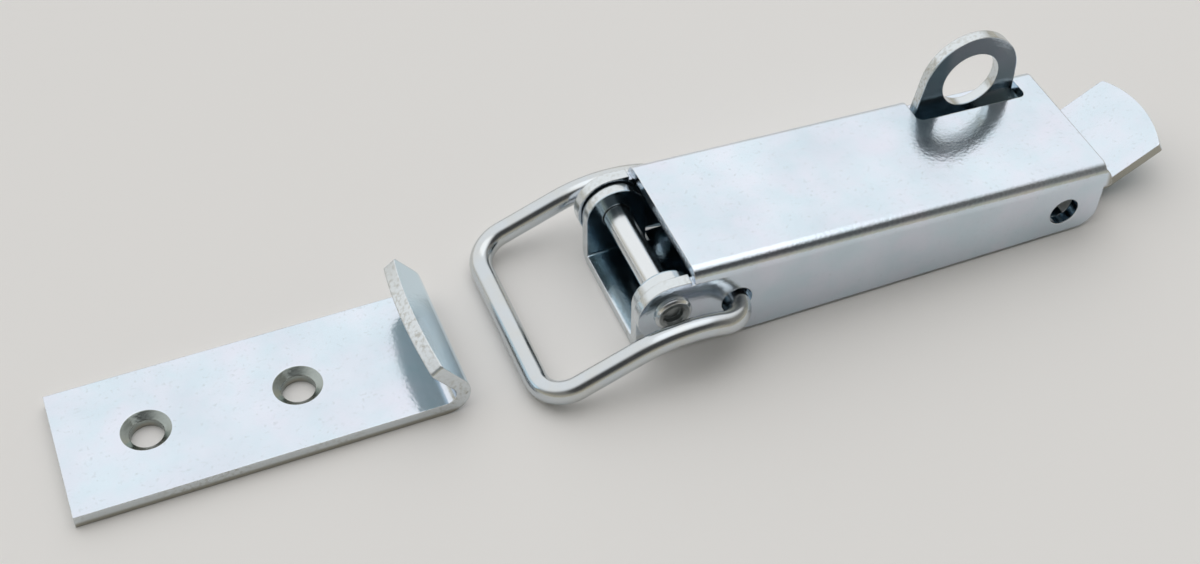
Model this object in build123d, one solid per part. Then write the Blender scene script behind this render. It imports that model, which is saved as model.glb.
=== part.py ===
from build123d import *

import os
from math import cos, radians, sin, tan

# Over centre toggle latch: a folded lever on a folded base, a wire bail that the
# lever pulls past dead centre, and the hooked strike plate that the bail catches.
# Millimetres. +X runs from the pivot to the lever's finger tongue, +Z points off
# the panel, and +Y is the side that carries the padlock eye.
# The origin lies on the panel, straight under the lever's pivot.

# --- sheet and wire ---------------------------------------------------------
SHEET = 2.5                # steel sheet of the lever and the base
STRIKE_SHEET = 3.0         # steel sheet of the strike plate
WIRE_DIAMETER = 5.0        # bail wire
FOLD_INNER_RADIUS = 0.5    # inside radius of the lever's and the base's folds
RELIEF_WIDTH = 0.8         # slits that free a flange at the ends of its fold

# --- fits -------------------------------------------------------------------
PIVOT_CLEARANCE = 0.25     # radial, rivet in the base ears
SEAT_CLEARANCE = 0.02      # radial, rivet held in the lever walls
WALL_GAP = 0.5             # lever wall to the base's ear, each side
EAR_TOP_GAP = 0.26         # round of the ear to the underside of the lever's top
ARM_GAP = 3.1              # bail arm to the lever wall
EYE_FRONT_GAP = 0.6        # padlock eye to the front end of the lever's slot
EYE_REAR_GAP = 2.0         # padlock eye to the rear end of the lever's slot
EYE_SIDE_GAP = 3.2         # padlock eye to the near edge of the lever's slot
SLOT_CORNER_RADIUS = 1.6   # inner corners of that slot

# --- lever ------------------------------------------------------------------
LEVER_WIDTH = 36.0         # over the walls
LEVER_PITCH = 2.96         # degrees that the closed lever slopes down to its tail
LEVER_TOP_START = 4.5      # front edge of the lever's top, behind the pivot
TAIL_WEB = 4.7             # from the padlock eye's slot to the rear edge of the walls
WALL_LIFT = 0.6            # lower edge of the walls above the panel, when closed
LUG_RADIUS = 7.7           # round end of the walls about the pivot
LUG_HEEL = 18.0            # behind the pivot, where the wall reaches its full depth
WALL_HEEL_RADIUS = 6.0     # corner between the lug's underside and the lower edge
WALL_REAR_RADIUS = 4.5     # lower rear corner of the walls
LOCK_HOLE_DIAMETER = 7.0   # hole for a locking pin, near the tail
LOCK_HOLE_SETBACK = 9.0    # ahead of the rear edge of the walls
LOCK_HOLE_DROP = 0.7       # below the pivot, square to the lever's top

# --- lever tail: a step down and a finger tongue ------------------------------
CREST_SETBACK = 0.5        # fold over the crest, ahead of the rear edge of the walls
STEP_ANGLE = 73.7          # degrees down from the lever's top
STEP_LENGTH = 13.9         # between the middles of the step's two folds
STEP_FLANGE_DEPTH = 6.9    # how far down the step keeps the lever's full width
STEP_CORNER_RADIUS = 2.0
TAIL_FOLD_RADIUS = 1.8     # inside radius of the fold over the crest
VALLEY_FOLD_RADIUS = 2.5   # inside radius of the fold at the foot of the step
TONGUE_ANGLE = 32.7        # degrees up from the lever's top
TONGUE_LENGTH = 21.1       # from the middle of the lower fold to the tip
TONGUE_WIDTH = 23.6
TONGUE_BULGE = 2.7         # middle of the tongue's convex end, past its corners
TONGUE_CORNER = 0.8        # radius of those corners

# --- base -------------------------------------------------------------------
PIVOT_HEIGHT = 12.4        # above the panel
EAR_RADIUS = 6.9           # round top of the ears about the pivot
BASE_SCREW_DIAMETER = 6.6
BASE_SCREW_FIRST = 22.0    # behind the pivot
BASE_SCREW_PITCH = 40.0
BASE_SCREW_COUNT = 2
EYE_HOLE_DIAMETER = 14.0   # padlock hole
EYE_RADIUS = 11.6          # round top of the padlock eye
EYE_CENTRE_X = 85.2
EYE_CENTRE_HEIGHT = 23.5
EYE_FRONT_LEAN = 12.0      # degrees that the eye's front edge leans from upright

# --- pivot rivet ------------------------------------------------------------
RIVET_DIAMETER = 6.0
RIVET_BORE = 4.2           # blind bore in each head
RIVET_BORE_DEPTH = 1.6
RIVET_HEAD_DIAMETER = 8.2
RIVET_HEAD_HEIGHT = 1.0
RIVET_ROLL = 0.5           # slope at the rims of the rolled heads

# --- bail -------------------------------------------------------------------
BAIL_HOLE_X = 14.6         # behind the pivot
BAIL_HOLE_DROP = 2.1       # below the pivot
BAIL_HOLE_DIAMETER = 7.0   # loose on the wire, so that the bail finds its hook
BAIL_BAR_X = -29.6         # middle of the cross bar
BAIL_KNEE_X = -1.0         # where the runs on each side of an arm's long bend would meet
BAIL_KNEE_HEIGHT = 13.4
BAIL_KNEE_RADIUS = 33.0
BAIL_CORNER_RADIUS = 7.2   # corners between the arms and the cross bar
BAIL_END_REACH = 2.3       # wire ends inside the lever walls

# --- strike plate -----------------------------------------------------------
STRIKE_WIDTH = 32.5
STRIKE_NOSE_X = -43.5      # outermost point of the hook's bend
STRIKE_LENGTH = 80.9
STRIKE_HOOK_RADIUS = 2.5   # inside radius of the hook
STRIKE_HOOK_HEIGHT = 16.2
STRIKE_LIP_ANGLE = 53.0    # degrees that the lip stands up from the plate
STRIKE_LIP_BULGE = 2.2     # middle of the lip's curved free edge, past its corners
STRIKE_LIP_CORNER = 1.0    # radius of those corners
STRIKE_SCREW_DIAMETER = 7.0
STRIKE_SCREW_FIRST = 17.7  # from the plain end
STRIKE_SCREW_PITCH = 31.3
STRIKE_SCREW_COUNT = 2
SCREW_HEAD_DIAMETER = 10.4  # mouth of the countersinks
SCREW_HEAD_ANGLE = 110.0

# --- worked out from the sizes above ------------------------------------------
FOLD_OUTER_RADIUS = FOLD_INNER_RADIUS + SHEET
LEVER_HALF = LEVER_WIDTH / 2
BASE_HALF = LEVER_HALF - SHEET - WALL_GAP
LEVER_TOP = EAR_RADIUS + EAR_TOP_GAP + SHEET     # outer face, above the pivot
ARM_Y = LEVER_HALF + ARM_GAP + WIRE_DIAMETER / 2
BAIL_HOOK_RADIUS = ARM_Y - LEVER_HALF            # so that the wire is straight in the wall
EYE_REAR_X = EYE_CENTRE_X + EYE_RADIUS
BASE_FRONT_X = -EAR_RADIUS
FAR = 300.0                # reach of cutters that pass right through
EYE_LEAN = radians(EYE_FRONT_LEAN)
EYE_FRONT_X = EYE_CENTRE_X - EYE_RADIUS * cos(EYE_LEAN)            # where the round top
EYE_FRONT_HEIGHT = EYE_CENTRE_HEIGHT + EYE_RADIUS * sin(EYE_LEAN)  # meets the front edge


def level_point(x, height):
    """Place in the closed latch of a point given along and square to the lever's top."""
    pitch = radians(LEVER_PITCH)
    return (x * cos(pitch) + height * sin(pitch),
            PIVOT_HEIGHT - x * sin(pitch) + height * cos(pitch))


def lever_point(x, height):
    """The reverse of level_point: a place in the closed latch, as the lever sees it."""
    pitch = radians(LEVER_PITCH)
    rise = height - PIVOT_HEIGHT
    return (x * cos(pitch) - rise * sin(pitch), x * sin(pitch) + rise * cos(pitch))


def across(diameter, x, height):
    """A round cutter along Y, through everything."""
    return Pos(x, 0, height) * Rot(90, 0, 0) * Cylinder(diameter / 2, FAR)


def side_slab(outline, width):
    """A side outline, drawn in X and Z, given a width about the middle plane."""
    return extrude(Plane.XZ * outline, width / 2, both=True)


def bent_strip(points, radii, thickness, width):
    """Flat strip folded along a side view line through the middle of the sheet."""
    middle = FilletPolyline(*points, radius=radii)
    return side_slab(trace(middle, thickness), width)


def curved_end(tip, heading, width, bulge, corner, thickness):
    """Cutter for the end of a strip that runs out at an angle: a convex edge, square to the sheet."""
    radius = ((width / 2) ** 2 + bulge ** 2) / (2 * bulge)
    reach = 2 * (bulge + corner)
    keep = Pos(0, -radius) * Circle(radius) & Pos(0, -reach) * Rectangle(width, 2 * reach)
    keep = fillet(keep.vertices().group_by(Axis.Y)[-1], corner)
    turn = radians(heading)
    end_plane = Plane(origin=(tip[0], 0, tip[1]), x_dir=(0, 1, 0), z_dir=(sin(turn), 0, -cos(turn)))
    return extrude(end_plane * (Rectangle(2 * width, 2 * reach) - keep), thickness, both=True)


def countersunk_holes(first_x, pitch, count, diameter, plate):
    """Cutters for a row of countersunk screw holes on the middle line of a plate."""
    depth = (SCREW_HEAD_DIAMETER - diameter) / 2 / tan(radians(SCREW_HEAD_ANGLE / 2))
    cutters = []
    for index in range(count):
        x = first_x + index * pitch
        cutters += [Pos(x, 0, 0) * Cylinder(diameter / 2, FAR)]
        cutters += [Pos(x, 0, plate - depth / 2) * Cone(diameter / 2, SCREW_HEAD_DIAMETER / 2, depth)]
    return cutters


def channel_section(width, top, depth):
    """Cross-section of a channel open below, folded from sheet, in Y and Z."""
    outer = Pos(0, top - depth / 2) * Rectangle(width, depth)
    outer = fillet(outer.vertices().group_by(Axis.Y)[-1], FOLD_OUTER_RADIUS)
    inner = Pos(0, top - SHEET - depth / 2) * Rectangle(width - 2 * SHEET, depth)
    inner = fillet(inner.vertices().group_by(Axis.Y)[-1], FOLD_INNER_RADIUS)
    return outer - inner


def slot_ends():
    """Front and rear ends of the padlock eye's slot, along the lever."""
    underside = level_point(EYE_FRONT_X, LEVER_TOP - SHEET)[1]
    eye_front = EYE_FRONT_X - (EYE_FRONT_HEIGHT - underside) * tan(EYE_LEAN)
    front = lever_point(eye_front, underside)[0] - EYE_FRONT_GAP
    rear = lever_point(EYE_REAR_X, underside)[0] + EYE_REAR_GAP
    return front, rear


WALL_LENGTH = slot_ends()[1] + TAIL_WEB           # pivot to the rear edge of the walls
LOCK_HOLE_X = WALL_LENGTH - LOCK_HOLE_SETBACK


def wall_outline():
    """Side view of the lever walls: round lug, deep middle, shallower tail."""
    heel = lever_point(LUG_HEEL, WALL_LIFT)
    tail = lever_point(WALL_LENGTH, WALL_LIFT)
    lower_slope = (tail[1] - heel[1]) / (tail[0] - heel[0])
    rear_low = heel[1] + (WALL_LENGTH - heel[0]) * lower_slope
    body = Polygon((0, LUG_RADIUS), (0, -LUG_RADIUS), heel, (WALL_LENGTH, rear_low),
                   (WALL_LENGTH, LEVER_TOP), (LEVER_TOP_START, LEVER_TOP),
                   (LEVER_TOP_START, LUG_RADIUS), align=None)
    rear_corner = body.vertices().sort_by_distance((WALL_LENGTH, rear_low))[0]
    body = fillet(rear_corner, WALL_REAR_RADIUS)
    heel_corner = body.vertices().sort_by_distance(heel)[0]
    body = fillet(heel_corner, WALL_HEEL_RADIUS)
    return body + Circle(LUG_RADIUS)


def tail_points():
    """Middle of the sheet over the crest, down the step and out along the tongue."""
    middle = LEVER_TOP - SHEET / 2
    turn = radians(STEP_ANGLE)
    crest = (WALL_LENGTH - CREST_SETBACK, middle)
    foot = (crest[0] + STEP_LENGTH * cos(turn), crest[1] - STEP_LENGTH * sin(turn))
    rise = radians(TONGUE_ANGLE)
    tip = (foot[0] + TONGUE_LENGTH * cos(rise), foot[1] + TONGUE_LENGTH * sin(rise))
    start = (crest[0] - TAIL_WEB, middle)
    return start, crest, foot, tip


def tail_step(points, radii):
    """The step, as wide as the lever down to its rounded shoulders."""
    strip = bent_strip(points, radii, SHEET, LEVER_WIDTH)
    shoulder = LEVER_TOP - STEP_FLANGE_DEPTH
    wide = Pos(0, shoulder + FAR / 2) * Rectangle(LEVER_WIDTH, FAR)
    keep = wide + Rectangle(TONGUE_WIDTH, 2 * FAR)
    corners = keep.vertices().filter_by_position(Axis.Y, shoulder - 1, shoulder + 1)
    keep = fillet(corners, STEP_CORNER_RADIUS)
    crest, foot = points[1], points[2]
    lean = (foot[0] - crest[0]) / (crest[1] - foot[1])
    reach = crest[0] + (crest[1] - shoulder) * lean + SHEET
    keep_solid = Pos(reach - FAR, 0, 0) * extrude(Plane.YZ * keep, FAR)
    return strip & keep_solid & envelope()


def tail_tongue(points, radii):
    """The finger tongue, with its convex end."""
    strip = bent_strip(points, radii, SHEET, TONGUE_WIDTH)
    return strip - curved_end(points[-1], TONGUE_ANGLE, TONGUE_WIDTH, TONGUE_BULGE, TONGUE_CORNER, SHEET)


def envelope():
    """Outer skin of the lever's channel, carried on past the walls."""
    outer = Pos(0, LEVER_TOP - FAR / 2) * Rectangle(LEVER_WIDTH, FAR)
    outer = fillet(outer.vertices().group_by(Axis.Y)[-1], FOLD_OUTER_RADIUS)
    return extrude(Plane.YZ * outer, FAR, both=True)


def eye_slot():
    """Cutter for the slot that the padlock eye comes up through, open on the far side."""
    front, rear = slot_ends()
    near = BASE_HALF - SHEET - EYE_SIDE_GAP
    slot = Pos((front + rear) / 2, near + FAR / 2) * Rectangle(rear - front, FAR)
    slot = fillet(slot.vertices().group_by(Axis.Y)[0], SLOT_CORNER_RADIUS)
    return Pos(0, 0, LEVER_TOP - FOLD_OUTER_RADIUS) * extrude(slot, FAR)


def fold_reliefs():
    """Slits that part the lever's lugs from the front ends of its two folds."""
    x = LEVER_TOP_START - RELIEF_WIDTH / 2
    height = LEVER_TOP - FOLD_OUTER_RADIUS + FAR / 2
    return Pos(x, 0, height) * Box(RELIEF_WIDTH, 2 * LEVER_WIDTH, FAR)


def lever_lugs(outline):
    """Flat lugs that carry the walls forward of the top, round the pivot."""
    front = Pos(LEVER_TOP_START - FAR / 2, 0, 0) * Box(FAR, LEVER_WIDTH, 2 * FAR)
    between = Box(FAR, LEVER_WIDTH - 2 * SHEET, 2 * FAR)
    return (side_slab(outline, LEVER_WIDTH) & front) - between


def build_lever():
    """Folded lever, drawn square to its top about the pivot and then laid closed."""
    outline = wall_outline()
    depth = LEVER_TOP + PIVOT_HEIGHT + LUG_RADIUS
    section = Plane.YZ * channel_section(LEVER_WIDTH, LEVER_TOP, depth)
    channel = Pos(LEVER_TOP_START, 0, 0) * extrude(section, WALL_LENGTH - LEVER_TOP_START)
    channel = channel & side_slab(outline, LEVER_WIDTH)
    points = tail_points()
    radii = [TAIL_FOLD_RADIUS + SHEET / 2, VALLEY_FOLD_RADIUS + SHEET / 2]
    lever = channel + lever_lugs(outline) + tail_step(points, radii) + tail_tongue(points, radii)
    bail_hole = lever_point(BAIL_HOLE_X, PIVOT_HEIGHT - BAIL_HOLE_DROP)
    lever -= across(RIVET_DIAMETER + 2 * SEAT_CLEARANCE, 0, 0)
    lever -= across(BAIL_HOLE_DIAMETER, *bail_hole)
    lever -= across(LOCK_HOLE_DIAMETER, LOCK_HOLE_X, -LOCK_HOLE_DROP)
    lever -= eye_slot()
    lever -= fold_reliefs()
    return Pos(0, 0, PIVOT_HEIGHT) * Rot(0, LEVER_PITCH, 0) * lever


def flange_section(height):
    """Upright flange folded up from the base's far edge, in Y and Z."""
    outer = Pos(BASE_HALF / 2, height / 2) * Rectangle(BASE_HALF, height)
    outer = fillet(outer.vertices().sort_by_distance((BASE_HALF, 0))[0], FOLD_OUTER_RADIUS)
    inner = Pos((BASE_HALF - SHEET) / 2, SHEET + height / 2) * Rectangle(BASE_HALF - SHEET, height)
    inner = fillet(inner.vertices().sort_by_distance((BASE_HALF - SHEET, SHEET))[0], FOLD_INNER_RADIUS)
    return outer - inner


def ear_outline():
    """Side view of a base ear: straight sides and a round top about the pivot."""
    return Pos(0, PIVOT_HEIGHT / 2) * Rectangle(2 * EAR_RADIUS, PIVOT_HEIGHT) + (
        Pos(0, PIVOT_HEIGHT) * Circle(EAR_RADIUS))


def eye_outline():
    """Side view of the padlock eye: round top, upright rear edge, leaning front edge."""
    foot_x = EYE_FRONT_X - EYE_FRONT_HEIGHT * tan(EYE_LEAN)
    web = Polygon((foot_x, 0), (EYE_FRONT_X, EYE_FRONT_HEIGHT), (EYE_CENTRE_X, EYE_CENTRE_HEIGHT),
                  (EYE_REAR_X, EYE_CENTRE_HEIGHT), (EYE_REAR_X, 0), align=None)
    return web + Pos(EYE_CENTRE_X, EYE_CENTRE_HEIGHT) * Circle(EYE_RADIUS)


def flange(outline, height):
    """One flange on the base's far edge, cut to its side outline."""
    section = extrude(Plane.YZ * flange_section(height), FAR, both=True)
    return section & side_slab(outline, FAR)


def build_base():
    """Base plate with two pivot ears and the padlock eye, folded from one blank."""
    ear_height = PIVOT_HEIGHT + EAR_RADIUS
    ear = flange(ear_outline(), ear_height)
    eye = flange(eye_outline(), EYE_CENTRE_HEIGHT + EYE_RADIUS)
    eye_box = eye.bounding_box()
    length = EYE_REAR_X - BASE_FRONT_X
    plate = Pos(BASE_FRONT_X + length / 2, 0, SHEET / 2) * Box(length, 2 * BASE_HALF, SHEET)
    fold = FOLD_OUTER_RADIUS
    for side, start, end in ((-1, BASE_FRONT_X, EAR_RADIUS), (1, BASE_FRONT_X, EAR_RADIUS),
                             (1, eye_box.min.X, EYE_REAR_X)):
        x_from = start - RELIEF_WIDTH
        x_to = end + RELIEF_WIDTH
        notch = Box(x_to - x_from, fold, FAR)
        plate -= Pos((x_from + x_to) / 2, side * (BASE_HALF - fold / 2), 0) * notch
    base = plate + ear + mirror(ear, Plane.XZ) + eye
    base -= across(RIVET_DIAMETER + 2 * PIVOT_CLEARANCE, 0, PIVOT_HEIGHT)
    base -= across(EYE_HOLE_DIAMETER, EYE_CENTRE_X, EYE_CENTRE_HEIGHT)
    base -= across(LOCK_HOLE_DIAMETER, *level_point(LOCK_HOLE_X, -LOCK_HOLE_DROP))
    base -= countersunk_holes(BASE_SCREW_FIRST, BASE_SCREW_PITCH, BASE_SCREW_COUNT,
                              BASE_SCREW_DIAMETER, SHEET)
    return base


def build_rivet():
    """Semi-tubular rivet through the ears and the lever walls, with both ends rolled over."""
    shank = RIVET_DIAMETER / 2
    bore = RIVET_BORE / 2
    head = RIVET_HEAD_DIAMETER / 2
    top = LEVER_HALF + RIVET_HEAD_HEIGHT
    floor = top - RIVET_BORE_DEPTH
    profile = Polygon((0, 0), (shank, 0), (shank, LEVER_HALF), (head, LEVER_HALF), (head, top),
                      (bore, top), (bore, floor), (0, floor), align=None)
    rims = profile.vertices().group_by(Axis.Y)[-1]
    profile = chamfer(rims, RIVET_ROLL)
    half = revolve(Plane.XY * profile, Axis.Y)
    rivet = half + mirror(half, Plane.XZ)
    return Pos(0, 0, PIVOT_HEIGHT) * rivet


def build_bail():
    """One wire: two ends hooked into the lever, two arms and a cross bar on the panel."""
    hole_height = PIVOT_HEIGHT - BAIL_HOLE_DROP
    end_y = LEVER_HALF - SHEET - BAIL_END_REACH
    bar_height = WIRE_DIAMETER / 2
    half = [(BAIL_HOLE_X, end_y, hole_height), (BAIL_HOLE_X, ARM_Y, hole_height),
            (BAIL_KNEE_X, ARM_Y, BAIL_KNEE_HEIGHT), (BAIL_BAR_X, ARM_Y, bar_height)]
    other = [(x, -y, z) for x, y, z in reversed(half)]
    bends = [BAIL_HOOK_RADIUS, BAIL_KNEE_RADIUS, BAIL_CORNER_RADIUS]
    path = FilletPolyline(*half, *other, radius=bends + bends[::-1])
    start = Plane(origin=path @ 0, z_dir=path % 0)
    return sweep(start * Circle(WIRE_DIAMETER / 2), path)


def build_strike():
    """Strike plate: flat, screwed down, its end folded up and back into a hook."""
    half = STRIKE_SHEET / 2
    middle_radius = STRIKE_HOOK_RADIUS + half
    lip = radians(STRIKE_LIP_ANGLE)
    turn = 180 - STRIKE_LIP_ANGLE
    bend_x = STRIKE_NOSE_X - STRIKE_HOOK_RADIUS - STRIKE_SHEET
    corner_x = bend_x + middle_radius * tan(radians(turn / 2))
    lip_top = STRIKE_HOOK_HEIGHT - half * cos(lip)
    lip_x = corner_x - (lip_top - half) / tan(lip)
    strike = bent_strip([(STRIKE_NOSE_X - STRIKE_LENGTH, half), (corner_x, half), (lip_x, lip_top)],
                        [middle_radius], STRIKE_SHEET, STRIKE_WIDTH)
    strike -= curved_end((lip_x, lip_top), turn, STRIKE_WIDTH, STRIKE_LIP_BULGE, STRIKE_LIP_CORNER,
                         STRIKE_SHEET)
    strike -= countersunk_holes(STRIKE_NOSE_X - STRIKE_LENGTH + STRIKE_SCREW_FIRST, STRIKE_SCREW_PITCH,
                                STRIKE_SCREW_COUNT, STRIKE_SCREW_DIAMETER, STRIKE_SHEET)
    return strike


def main():
    os.makedirs("parts", exist_ok=True)
    pieces = {"base_plate": build_base(), "lever": build_lever(), "pivot_rivet": build_rivet(),
              "bail": build_bail(), "strike_plate": build_strike()}
    for name, piece in pieces.items():
        export_step(piece, f"parts/{name}.step")


main()
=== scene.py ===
"""Over-centre toggle latch in zinc-plated steel: the finish of each part, and a pale studio to show it in."""

from math import cos, radians, sin

import bpy
from bpy.props import FloatProperty, FloatVectorProperty, PointerProperty
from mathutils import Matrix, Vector

bl_info = {
    "name": "Over-Centre Toggle Latch",
    "version": (1, 0, 0),
    "blender": (4, 5, 0),
    "location": "View3D > Sidebar > Toggle Latch",
    "description": "Zinc-plated finishes for the parts of a toggle latch, and a pale studio",
    "category": "Material",
}

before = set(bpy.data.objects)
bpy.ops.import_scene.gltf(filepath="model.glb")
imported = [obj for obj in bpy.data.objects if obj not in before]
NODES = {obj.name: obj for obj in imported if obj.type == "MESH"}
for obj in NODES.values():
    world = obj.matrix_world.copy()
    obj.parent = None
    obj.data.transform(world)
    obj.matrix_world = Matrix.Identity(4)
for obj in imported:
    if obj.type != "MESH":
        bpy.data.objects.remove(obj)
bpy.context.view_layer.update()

LIP_LEAN = radians(53.0)                # of the strike plate's hook lip, up from the plate

# Each pair below is where a mask starts and where it is full. FACING pairs are shares of a direction, from 0, square
# to it, to 1, straight along it. The others are places on the latch in metres, in the frame's own axes.
FACING_MOSTLY = (0.6, 0.9)
FACING_ELSEWHERE = (0.6, 0.3)
FACING_DOWN_OR_ASIDE = (0.3, 0.0)

LIP_HEIGHT = (0.0032, 0.0040)           # where the strike plate's lip leaves its flat part
LIP_TIP_FACING = (0.85, 0.93)
LIP_OUTSIDE_FACING = (0.6, 0.95)
LIP_INSIDE_FACING = (0.3, 0.8)
SUNK_FACING = (0.97, 0.90)              # sloping walls of the countersinks
SUNK_HALF_WIDTH = (0.0062, 0.0060)
STRIKE_END = (-0.1235, -0.1230)
# Painted shade along the foot of the strike plate's sides, where it lies on the floor
FOOT_SHADE_HEIGHT = (0.0014, 0.0007)

PLATE_HEIGHT = (0.0055, 0.0045)         # under this the base is its flat plate
EYE_START = (0.078, 0.080)
EYE_FOOT_HEIGHT = (0.0185, 0.0165)      # the lever's top hides the padlock eye's foot below this
EAR_INSIDE = (0.0129, 0.0126)
BASE_FRONT = (-0.0066, -0.0062)

LUG_END = (0.0044, 0.0042)
TONGUE_START = (0.1035, 0.1045)
WALL_INSIDE = (0.0158, 0.0156)
TOP_START = (0.0050, 0.0056)

PIVOT = (0.0, 0.0, 0.0124)
BORE_MOUTH = (0.0168, 0.0172)
BORE_WALL = (0.0036, 0.0032)

FLECK_SIZE = 0.0009
ROLLING_SIZE = 0.0016
TURNING_SIZE = 0.0008
WIRE_CLOUD_SIZE = 0.006
WIRE_MARK_DEPTH = 0.000002
TURNING_DEPTH = 0.000004
ALONG_LATCH = (0.08, 1.0, 1.0)          # draws the rolling lines out along the latch
ACROSS_LATCH = (1.0, 0.08, 1.0)
ROUND_RIVET = (1.0, 0.15, 1.0)

LAMP_PLACE = (0.12, -0.01, 0.70)
LAMP_SIZE = (0.70, 0.52)
SKY_SIDE = (-0.08, 0.56, 0.82)
SKY_EDGE = (0.42, 0.70)
SCREEN_SIDE = (-0.05, -0.62, 0.78)
SCREEN_EDGE = (0.74, 0.88)
HORIZON = (0.42, 0.12)
FLOOR_DROP = 0.0001                     # keeps the floor clear of the parts that lie on it

MIX_COLOUR_SOCKETS = {"share": 0, "first": 6, "second": 7}
MIX_COLOUR_OUTPUT = 2
NUMBER_OUTPUT = 1


# ---------------------------------------------------------------- shader maths


class Value:
    """A number or a colour that varies over a surface: one output socket of a shader."""

    def __init__(self, shader, socket):
        self.shader = shader
        self.socket = socket

    def _sum(self, operation, first, second):
        return self.shader.add("ShaderNodeMath", {"operation": operation}, {0: first, 1: second})

    def __add__(self, other):
        return self._sum("ADD", self, other)

    def __radd__(self, other):
        return self._sum("ADD", other, self)

    def __sub__(self, other):
        return self._sum("SUBTRACT", self, other)

    def __rsub__(self, other):
        return self._sum("SUBTRACT", other, self)

    def __mul__(self, other):
        return self._sum("MULTIPLY", self, other)

    def __rmul__(self, other):
        return self._sum("MULTIPLY", other, self)

    def __neg__(self):
        return self * -1.0

    def __abs__(self):
        return self.shader.add("ShaderNodeMath", {"operation": "ABSOLUTE"}, {0: self})


class Shader:
    """A node tree that is written from scratch."""

    def __init__(self, tree):
        self.tree = tree
        tree.nodes.clear()

    def add(self, kind, settings=None, sockets=None, output=0):
        """A node of that kind, with its settings made first and then its sockets filled or linked."""
        node = self.tree.nodes.new(kind)
        for name, value in (settings or {}).items():
            setattr(node, name, value)
        for name, value in (sockets or {}).items():
            if isinstance(value, Value):
                self.tree.links.new(value.socket, node.inputs[name])
            else:
                node.inputs[name].default_value = value
        return Value(self, node.outputs[output]) if node.outputs else node

    def mix(self, share, first, second):
        """The colour first where share is 0, and second where it is 1."""
        filled = {"share": share, "first": first, "second": second}
        sockets = {MIX_COLOUR_SOCKETS[name]: value for name, value in filled.items()}
        return self.add("ShaderNodeMix", {"data_type": "RGBA"}, sockets, MIX_COLOUR_OUTPUT)

    def noise(self, place, size, detail, stretch=(1.0, 1.0, 1.0)):
        """Cloudy noise from 0 to 1 whose blotches are about size across, drawn out by stretch."""
        place = self.add("ShaderNodeMapping", None, {"Vector": place, "Scale": stretch})
        return self.add("ShaderNodeTexNoise", None, {"Vector": place, "Scale": 1 / size, "Detail": detail})

    def split(self, vector):
        """The x, y and z of a vector, each as a number."""
        parts = self.add("ShaderNodeSeparateXYZ", None, {"Vector": vector})
        return [Value(self, output) for output in parts.socket.node.outputs]

    def spread(self, value, low, high):
        """Value moved so that low becomes 0 and high becomes 1, and held to that."""
        return self.add("ShaderNodeMapRange", {"clamp": True}, {"Value": value, "From Min": low, "From Max": high})


def opaque(colour):
    """A colour with the fourth number that a colour socket takes."""
    return (*colour, 1.0)


# ------------------------------------------------------------------ properties


def colour_property(name, description, default):
    return FloatVectorProperty(
        name=name, description=description, default=default, subtype="COLOR", min=0.0, max=1.0
    )


def length_property(name, description, default):
    return FloatProperty(name=name, description=description, default=default, subtype="DISTANCE", unit="LENGTH")


def share_property(name, description, default):
    return FloatProperty(name=name, description=description, default=default, subtype="FACTOR", min=0.0, soft_max=1.0)


class LATCH_PG_plating(bpy.types.PropertyGroup):
    """Bright zinc plating on pressed steel strip."""

    colour: colour_property("Colour", "Main colour of the plating", (0.69, 0.79, 0.86))
    bloom: colour_property("Bloom", "Faint warmer colour in the cloudy patches", (0.76, 0.79, 0.87))
    # Rim: paler rubbed corners, and partly a painted highlight along them
    rim_wear_and_highlight: colour_property("Rim", "Colour along the rubbed corners", (0.84, 0.87, 0.89))
    cut_colour: colour_property("Cut face", "Colour of the sheared faces", (0.66, 0.70, 0.72))
    # Cut shade: duller torn patches of the sheared faces, and also painted shade on the tongue's side faces and along
    # the strike plate's foot
    torn_cut_and_painted_shade: colour_property("Cut shade", "Duller colour of the torn part of the sheared faces", (0.38, 0.37, 0.32))
    smudge: colour_property("Smudge", "Duller colour of the broad patches", (0.48, 0.57, 0.64))
    blush: colour_property("Blush", "Faint rose colour in some of the patches", (0.75, 0.74, 0.83))
    # Countersink: a darker colour on the countersinks' sloping walls
    sunk_colour: colour_property("Countersink", "Duller colour of the countersinks and their bores", (0.36, 0.40, 0.38))
    # Painted reflection: a bluer tint on the hook lip's outer face only
    lip_painted_reflection: colour_property("Lip", "Bluer colour of the hook lip's outer face", (0.66, 0.81, 0.90))
    fleck_colour: colour_property("Fleck", "Duller colour of the fine flecks", (0.50, 0.55, 0.58))
    # Painted shade: inside the lever, between the base's ears and under the strike's hook lip
    inside_painted_shade: colour_property("Inside", "Deeper colour inside the folds", (0.39, 0.51, 0.59))
    cloud_size: length_property("Cloud size", "Width of the cloudy patches", 0.007)
    roughness: share_property("Roughness", "Roughness of the rolled faces", 0.15)
    roughness_spread: share_property("Roughness spread", "How much the roughness varies", 0.12)
    ripple_size: length_property("Ripple size", "Width of the waves in the rolled faces", 0.012)
    ripple_depth: length_property("Ripple depth", "Depth of those waves", 0.000012)
    pebble_size: length_property("Pebble size", "Width of the fine dimples in the rolled faces", 0.0008)
    pebble_depth: FloatProperty(name="Pebble depth", description="Depth of the dimples, in waves", default=2.2, min=0.0)
    edge_radius: length_property("Edge radius", "Softened radius of the sheared edges", 0.00035)


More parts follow.
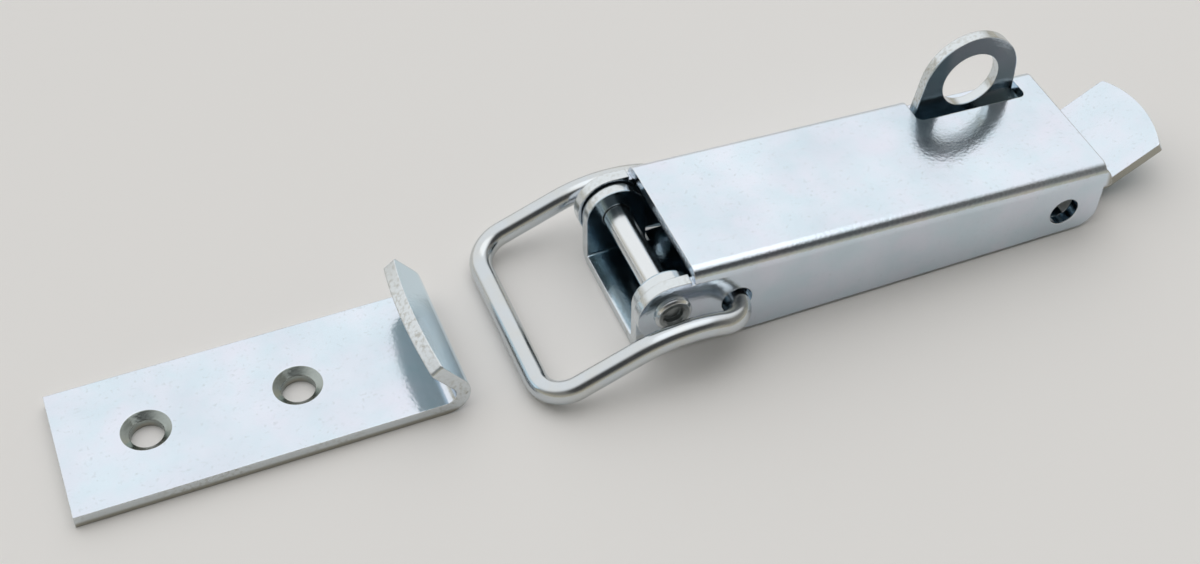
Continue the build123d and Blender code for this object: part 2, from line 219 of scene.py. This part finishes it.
class LATCH_PG_drawn(bpy.types.PropertyGroup):
    """Bright zinc plating on drawn wire and on the turned rivet."""

    wire_colour: colour_property("Wire colour", "Main colour of the plated wire", (0.58, 0.62, 0.65))
    wire_stain: colour_property("Wire stain", "Warmer colour of the drawing marks", (0.62, 0.59, 0.51))
    wire_roughness: share_property("Wire roughness", "Roughness of the wire", 0.17)
    mark_size: length_property("Mark size", "Width of the faint marks on the wire", 0.0025)
    rivet_colour: colour_property("Rivet colour", "Main colour of the plated rivet", (0.74, 0.77, 0.79))
    turned_colour: colour_property("Turned colour", "Duller colour of the turning marks", (0.66, 0.68, 0.68))
    # Painted shade inside the rivet's open ends
    bore_painted_shade: colour_property("Bore colour", "Colour inside the rivet's open ends", (0.30, 0.32, 0.32))
    rivet_roughness: share_property("Rivet roughness", "Roughness of the rivet", 0.2)
    rim_radius: length_property("Rim radius", "Softened radius of the rolled rivet heads", 0.0003)


class LATCH_PG_stage(bpy.types.PropertyGroup):
    """The floor, the lamp, the light from all round and the camera."""

    floor_colour: colour_property("Floor", "Colour of the floor", (0.88, 0.868, 0.85))
    floor_reach: length_property("Floor reach", "Half the floor's width", 5.0)
    top_power: FloatProperty(name="Top lamp", description="Power of the lamp overhead", default=0.48, subtype="POWER")
    room_level: FloatProperty(name="Room", description="Strength of the light from all round", default=1.1)
    sky_colour: colour_property("Sky", "Light from above and behind", (0.97, 0.97, 0.97))
    front_colour: colour_property("Front", "Light from in front", (0.24, 0.23, 0.21))
    horizon_colour: colour_property("Horizon", "Light from low in front", (0.48, 0.44, 0.35))
    screen_colour: colour_property("Screen", "The dark screen in front", (0.06, 0.06, 0.06))
    lens: FloatProperty(name="Lens", description="Focal length of the camera", default=54.68, subtype="DISTANCE_CAMERA")
    azimuth: FloatProperty(
        name="Azimuth", description="Turn of the camera round the latch", default=radians(-21.87), subtype="ANGLE"
    )
    elevation: FloatProperty(
        name="Elevation", description="Height of the camera as an angle", default=radians(46.93), subtype="ANGLE"
    )
    camera_place: FloatVectorProperty(
        name="Camera place", description="Where the camera stands", default=(-0.1071, -0.2448, 0.2895),
        subtype="TRANSLATION", unit="LENGTH",
    )


class LATCH_PG_settings(bpy.types.PropertyGroup):
    """Everything that a user would change."""

    plating: PointerProperty(type=LATCH_PG_plating, name="Plating", description="Finish of the pressed parts")
    drawn: PointerProperty(type=LATCH_PG_drawn, name="Wire and rivet", description="Finish of the bail and the rivet")
    stage: PointerProperty(type=LATCH_PG_stage, name="Stage", description="Floor, light and camera")


# --------------------------------------------------------------------- finishes


class Surface(Shader):
    """A zinc-plated surface: colour, roughness and relief that end in one metallic shader."""

    def __init__(self, name):
        self.material = bpy.data.materials.new(name)
        self.material.use_nodes = True
        super().__init__(self.material.node_tree)
        self.place = self.add("ShaderNodeTexCoord", None, None, "Object")
        self.x, self.y, self.z = self.split(self.place)
        self.facing = self.split(self.add("ShaderNodeTexCoord", None, None, "Normal"))

    def soft_edges(self, radius):
        """The surface's direction with its corners rounded."""
        return self.add("ShaderNodeBevel", {"samples": 6}, {"Radius": radius})

    def rim(self, rounded):
        """A mask that is 1 along the rounded corners."""
        plain = self.add("ShaderNodeNewGeometry", None, None, "Normal")
        turned = self.add("ShaderNodeVectorMath", {"operation": "DOT_PRODUCT"}, {0: rounded, 1: plain}, NUMBER_OUTPUT)
        return self.spread(1.0 - turned, 0.02, 0.20)

    def finish(self, colour, roughness, height, depth, rounded):
        """Ends the tree in a metallic shader with that colour, roughness and relief."""
        relief = self.add(
            "ShaderNodeBump", None, {"Height": height, "Distance": depth, "Strength": 1.0, "Normal": rounded}
        )
        metal = self.add(
            "ShaderNodeBsdfPrincipled", None,
            {"Base Color": colour, "Roughness": roughness, "Normal": relief, "Metallic": 1.0},
        )
        self.add("ShaderNodeOutputMaterial", None, {"Surface": metal})
        return self.material


def strike_faces(surface, look):
    """The strike's sheared faces as a mask, and the masks and colours of its lip (a painted reflection outside, painted
    shade inside), its countersinks and the painted shade along the foot of its sides.
    """
    along, across, up = surface.facing
    raised = surface.spread(surface.z, *LIP_HEIGHT)
    sides = surface.spread(abs(across), *FACING_MOSTLY)
    end = surface.spread(-along, *FACING_MOSTLY) * (1.0 - raised)
    tip = surface.spread(up * sin(LIP_LEAN) - along * cos(LIP_LEAN), *LIP_TIP_FACING) * raised
    outward = along * sin(LIP_LEAN) + up * cos(LIP_LEAN)
    # Painted reflection on the hook lip's outer face
    outside = surface.spread(outward, *LIP_OUTSIDE_FACING) * raised
    # Painted shade on the hook lip's inner face
    inside = surface.spread(-outward, *LIP_INSIDE_FACING) * raised
    sunk = surface.spread(up, *SUNK_FACING) * surface.spread(abs(surface.y), *SUNK_HALF_WIDTH) * (1.0 - raised)
    sunk = sunk * surface.spread(surface.x, *STRIKE_END)
    # Painted shade along the foot of the side faces
    foot_shade = sides * surface.spread(surface.z, *FOOT_SHADE_HEIGHT)
    tints = [(outside, look.lip_painted_reflection), (inside, look.inside_painted_shade), (sunk, look.sunk_colour), (foot_shade, look.torn_cut_and_painted_shade)]
    return sides + end + tip, tints


def base_faces(surface, look):
    """The base's sheared faces as a mask, and the mask and colour of the painted shade on the faces between its ears.
    """
    along, across, up = surface.facing
    low = surface.spread(surface.z, *PLATE_HEIGHT)
    level_cut = surface.spread(abs(up), *FACING_ELSEWHERE)
    upright_cut = surface.spread(abs(across), *FACING_ELSEWHERE)
    cut = low * level_cut + (1.0 - low) * upright_cut
    rear = surface.spread(surface.x, *EYE_START)
    hidden = (1.0 - rear) + rear * surface.spread(surface.z, *EYE_FOOT_HEIGHT)
    # Painted shade on the channel floor and the inner faces of the ears, up to the eye's hidden foot
    inner = surface.spread(abs(surface.y), *EAR_INSIDE) * hidden * surface.spread(surface.x, *BASE_FRONT)
    return cut * (1.0 - inner), [(inner, look.inside_painted_shade)]


def lever_faces(surface, look):
    """The lever's sheared lugs as a mask, and the masks and colours of the painted shade on its inside and on its
    tongue's side faces.
    """
    along, across, up = surface.facing
    lugs = surface.spread(surface.x, *LUG_END) * surface.spread(abs(across), *FACING_ELSEWHERE)
    # Painted shade on the tongue's side faces
    tongue = surface.spread(surface.x, *TONGUE_START) * surface.spread(abs(across), *FACING_MOSTLY)
    # Painted shade on the lever's inner walls behind its lugs
    inner = surface.spread(abs(surface.y), *WALL_INSIDE) * surface.spread(up, *FACING_DOWN_OR_ASIDE)
    inner = inner * surface.spread(surface.x, *TOP_START)
    return lugs, [(inner, look.inside_painted_shade), (tongue, look.torn_cut_and_painted_shade)]


def plated_sheet(name, look, grain, faces):
    """Rolled and pressed strip: cloudy bright plating, faint rolling lines, pale rims that are partly rubbed and partly
    a painted highlight, and duller sheared faces.
    """
    surface = Surface(name)
    rounded = surface.soft_edges(look.edge_radius)
    rim = surface.rim(rounded)
    cut, tints = faces(surface, look)
    cloud = surface.spread(surface.noise(surface.place, look.cloud_size, 4.0), 0.35, 0.65)
    blush = surface.spread(surface.noise(surface.place, 1.7 * look.cloud_size, 3.0), 0.50, 0.75)
    fine = surface.noise(surface.place, FLECK_SIZE, 3.0)
    fleck = surface.spread(fine, 0.60, 0.74)
    rolling = surface.noise(surface.place, ROLLING_SIZE, 3.0, grain)
    patch = surface.spread(surface.noise(surface.place, 3 * look.cloud_size, 3.0), 0.3, 0.7)
    torn = surface.spread(fine, 0.48, 0.66) * surface.spread(patch, 0.35, 0.75)
    sheared = surface.mix(torn * 0.6, opaque(look.cut_colour), opaque(look.torn_cut_and_painted_shade))
    colour = opaque(look.colour)
    for share, tint in (
        (cloud * 0.8, look.bloom), (patch * 0.4, look.smudge),
        (blush * 0.6, look.blush), (fleck * 0.35, look.fleck_colour),
    ):
        colour = surface.mix(share, colour, opaque(tint))
    colour = surface.mix(cut, colour, sheared)
    # Rims: partly rubbed corners, partly a painted highlight along them
    for share, tint in (*tints, (rim * 0.8, look.rim_wear_and_highlight)):
        colour = surface.mix(share, colour, opaque(tint))
    roughness = look.roughness + look.roughness_spread * (patch - 0.5) + 0.08 * (rolling - 0.5)
    roughness = roughness + 0.05 * fleck + 0.07 * cut
    pebble = surface.noise(surface.place, look.pebble_size, 2.0)
    ripple = surface.noise(surface.place, look.ripple_size, 2.0) + 0.05 * rolling + look.pebble_depth * pebble
    return surface.finish(colour, roughness, ripple, look.ripple_depth, rounded)


def plated_wire(name, look):
    """Drawn wire: bright, with faint cloudy marks."""
    surface = Surface(name)
    rounded = surface.soft_edges(look.rim_radius)
    marks = surface.noise(surface.place, look.mark_size, 3.0)
    cloud = surface.spread(surface.noise(surface.place, WIRE_CLOUD_SIZE, 3.0), 0.4, 0.7)
    colour = surface.mix(cloud * 0.35, opaque(look.wire_colour), opaque(look.wire_stain))
    roughness = look.wire_roughness + 0.06 * (marks - 0.5) + 0.04 * cloud
    return surface.finish(colour, roughness, marks, WIRE_MARK_DEPTH, rounded)


def plated_rivet(name, look):
    """Semi-tubular rivet: bright barrel and rolled heads, rougher and with painted shade inside its open ends."""
    surface = Surface(name)
    rounded = surface.soft_edges(look.rim_radius)
    turning = surface.noise(surface.place, TURNING_SIZE, 3.0, ROUND_RIVET)
    side_on = surface.add("ShaderNodeCombineXYZ", None, {"X": surface.x, "Z": surface.z})
    reach = surface.add("ShaderNodeVectorMath", {"operation": "DISTANCE"}, {0: side_on, 1: PIVOT}, NUMBER_OUTPUT)
    bore = surface.spread(abs(surface.y), *BORE_MOUTH) * surface.spread(reach, *BORE_WALL)
    colour = surface.mix(turning * 0.4, opaque(look.rivet_colour), opaque(look.turned_colour))
    # Painted shade inside the bores
    colour = surface.mix(bore, colour, opaque(look.bore_painted_shade))
    roughness = look.rivet_roughness + 0.12 * (turning - 0.5) + 0.15 * bore
    return surface.finish(colour, roughness, turning, TURNING_DEPTH, rounded)


def dress(node, material):
    """Gives a part of the frame its finish, as its only material."""
    part = NODES[node]
    part.data.materials.clear()
    part.data.materials.append(material)


# -------------------------------------------------------------------- operators


class LATCH_OT_lever(bpy.types.Operator):
    """Finish the lever in cloudy bright plating"""

    bl_idname = "latch.lever"
    bl_label = "Lever"

    def execute(self, context):
        look = context.scene.toggle_latch.plating
        dress("lever", plated_sheet("lever plating", look, ALONG_LATCH, lever_faces))
        return {"FINISHED"}


class LATCH_OT_base(bpy.types.Operator):
    """Finish the base plate with its ears and its padlock eye"""

    bl_idname = "latch.base"
    bl_label = "Base plate"

    def execute(self, context):
        look = context.scene.toggle_latch.plating
        dress("base_plate", plated_sheet("base plating", look, ALONG_LATCH, base_faces))
        return {"FINISHED"}


class LATCH_OT_strike(bpy.types.Operator):
    """Finish the strike plate with its rolled hook"""

    bl_idname = "latch.strike"
    bl_label = "Strike plate"

    def execute(self, context):
        look = context.scene.toggle_latch.plating
        dress("strike_plate", plated_sheet("strike plating", look, ACROSS_LATCH, strike_faces))
        return {"FINISHED"}


class LATCH_OT_bail(bpy.types.Operator):
    """Finish the wire bail"""

    bl_idname = "latch.bail"
    bl_label = "Bail"

    def execute(self, context):
        look = context.scene.toggle_latch.drawn
        dress("bail", plated_wire("bail plating", look))
        return {"FINISHED"}


class LATCH_OT_rivet(bpy.types.Operator):
    """Finish the tubular pivot rivet"""

    bl_idname = "latch.rivet"
    bl_label = "Pivot rivet"

    def execute(self, context):
        look = context.scene.toggle_latch.drawn
        dress("pivot_rivet", plated_rivet("rivet plating", look))
        return {"FINISHED"}


class LATCH_OT_stage(bpy.types.Operator):
    """Lay the floor, light the room and place the camera"""

    bl_idname = "latch.stage"
    bl_label = "Stage"

    def execute(self, context):
        look = context.scene.toggle_latch.stage
        self.lay_floor(context, look)
        self.light_room(context, look)
        self.hang_lamp(context, look)
        self.place_camera(context, look)
        context.scene.view_settings.view_transform = "Standard"
        return {"FINISHED"}

    def lay_floor(self, context, look):
        """A plain pale floor, wide enough to have no edge in view."""
        reach = look.floor_reach
        corners = [(-reach, -reach, 0.0), (reach, -reach, 0.0), (reach, reach, 0.0), (-reach, reach, 0.0)]
        mesh = bpy.data.meshes.new("floor")
        mesh.from_pydata(corners, [], [(0, 1, 2, 3)])
        floor = bpy.data.objects.new("floor", mesh)
        floor.location = (0.0, 0.0, -FLOOR_DROP)
        material = bpy.data.materials.new("floor paper")
        material.use_nodes = True
        shader = Shader(material.node_tree)
        paper = shader.add(
            "ShaderNodeBsdfPrincipled", None,
            {"Base Color": opaque(look.floor_colour), "Roughness": 0.7, "Specular IOR Level": 0.2},
        )
        shader.add("ShaderNodeOutputMaterial", None, {"Surface": paper})
        mesh.materials.append(material)
        context.scene.collection.objects.link(floor)

    def light_room(self, context, look):
        """Light from all round: bright above and behind, dim in front, with one dark screen there."""
        world = bpy.data.worlds.new("room")
        world.use_nodes = True
        context.scene.world = world
        shader = Shader(world.node_tree)
        heading = shader.add("ShaderNodeTexCoord", None, None, "Generated")
        sky = shader.spread(self.nearness(shader, heading, SKY_SIDE), *SKY_EDGE)
        screen = shader.spread(self.nearness(shader, heading, SCREEN_SIDE), *SCREEN_EDGE)
        low = shader.spread(shader.split(heading)[2], *HORIZON)
        front = shader.mix(low, opaque(look.front_colour), opaque(look.horizon_colour))
        front = shader.mix(screen * (1.0 - 0.7 * low), front, opaque(look.screen_colour))
        colour = shader.mix(sky, front, opaque(look.sky_colour))
        light = shader.add("ShaderNodeBackground", None, {"Color": colour, "Strength": look.room_level})
        shader.add("ShaderNodeOutputWorld", None, {"Surface": light})

    def nearness(self, shader, heading, side):
        """How nearly a heading points to that side: 1 is straight at it."""
        side = tuple(Vector(side).normalized())
        return shader.add("ShaderNodeVectorMath", {"operation": "DOT_PRODUCT"}, {0: heading, 1: side}, NUMBER_OUTPUT)

    def hang_lamp(self, context, look):
        """A broad soft lamp overhead, turned to the latch."""
        data = bpy.data.lights.new("top lamp", "AREA")
        data.shape = "RECTANGLE"
        data.size, data.size_y = LAMP_SIZE
        data.energy = look.top_power
        lamp = bpy.data.objects.new("top lamp", data)
        lamp.location = LAMP_PLACE
        lamp.rotation_mode = "QUATERNION"
        lamp.rotation_quaternion = (-Vector(LAMP_PLACE)).to_track_quat("-Z", "Y")
        lamp.visible_camera = False
        context.scene.collection.objects.link(lamp)

    def place_camera(self, context, look):
        """The camera at its given place, aimed by the two angles of the stage."""
        data = bpy.data.cameras.new("camera")
        data.lens = look.lens
        data.clip_start = 0.01
        camera = bpy.data.objects.new("camera", data)
        level = cos(look.elevation)
        back = Vector((sin(look.azimuth) * level, -cos(look.azimuth) * level, sin(look.elevation)))
        camera.location = look.camera_place
        camera.rotation_mode = "QUATERNION"
        camera.rotation_quaternion = (-back).to_track_quat("-Z", "Y")
        context.scene.collection.objects.link(camera)
        context.scene.camera = camera


class LATCH_PT_panel(bpy.types.Panel):
    """Lists the parts of the latch and the settings of their finishes"""

    bl_idname = "LATCH_PT_panel"
    bl_label = "Toggle Latch"
    bl_space_type = "VIEW_3D"
    bl_region_type = "UI"
    bl_category = "Toggle Latch"

    def draw(self, context):
        for operator in OPERATORS:
            self.layout.operator(operator.bl_idname)
        settings = context.scene.toggle_latch
        for group in (settings.plating, settings.drawn, settings.stage):
            box = self.layout.box()
            for name in group.__annotations__:
                box.prop(group, name)


GROUPS = (LATCH_PG_plating, LATCH_PG_drawn, LATCH_PG_stage, LATCH_PG_settings)
OPERATORS = (LATCH_OT_base, LATCH_OT_lever, LATCH_OT_rivet, LATCH_OT_bail, LATCH_OT_strike, LATCH_OT_stage)
CLASSES = (*GROUPS, *OPERATORS, LATCH_PT_panel)


def register():
    for cls in CLASSES:
        bpy.utils.register_class(cls)
    bpy.types.Scene.toggle_latch = PointerProperty(
        type=LATCH_PG_settings, name="Toggle latch", description="Finishes and stage of the latch"
    )


def unregister():
    del bpy.types.Scene.toggle_latch
    for cls in reversed(CLASSES):
        bpy.utils.unregister_class(cls)


def main():
    register()
    bpy.ops.latch.base()
    bpy.ops.latch.lever()
    bpy.ops.latch.rivet()
    bpy.ops.latch.bail()
    bpy.ops.latch.strike()
    bpy.ops.latch.stage()


if __name__ == "__main__":
    main()
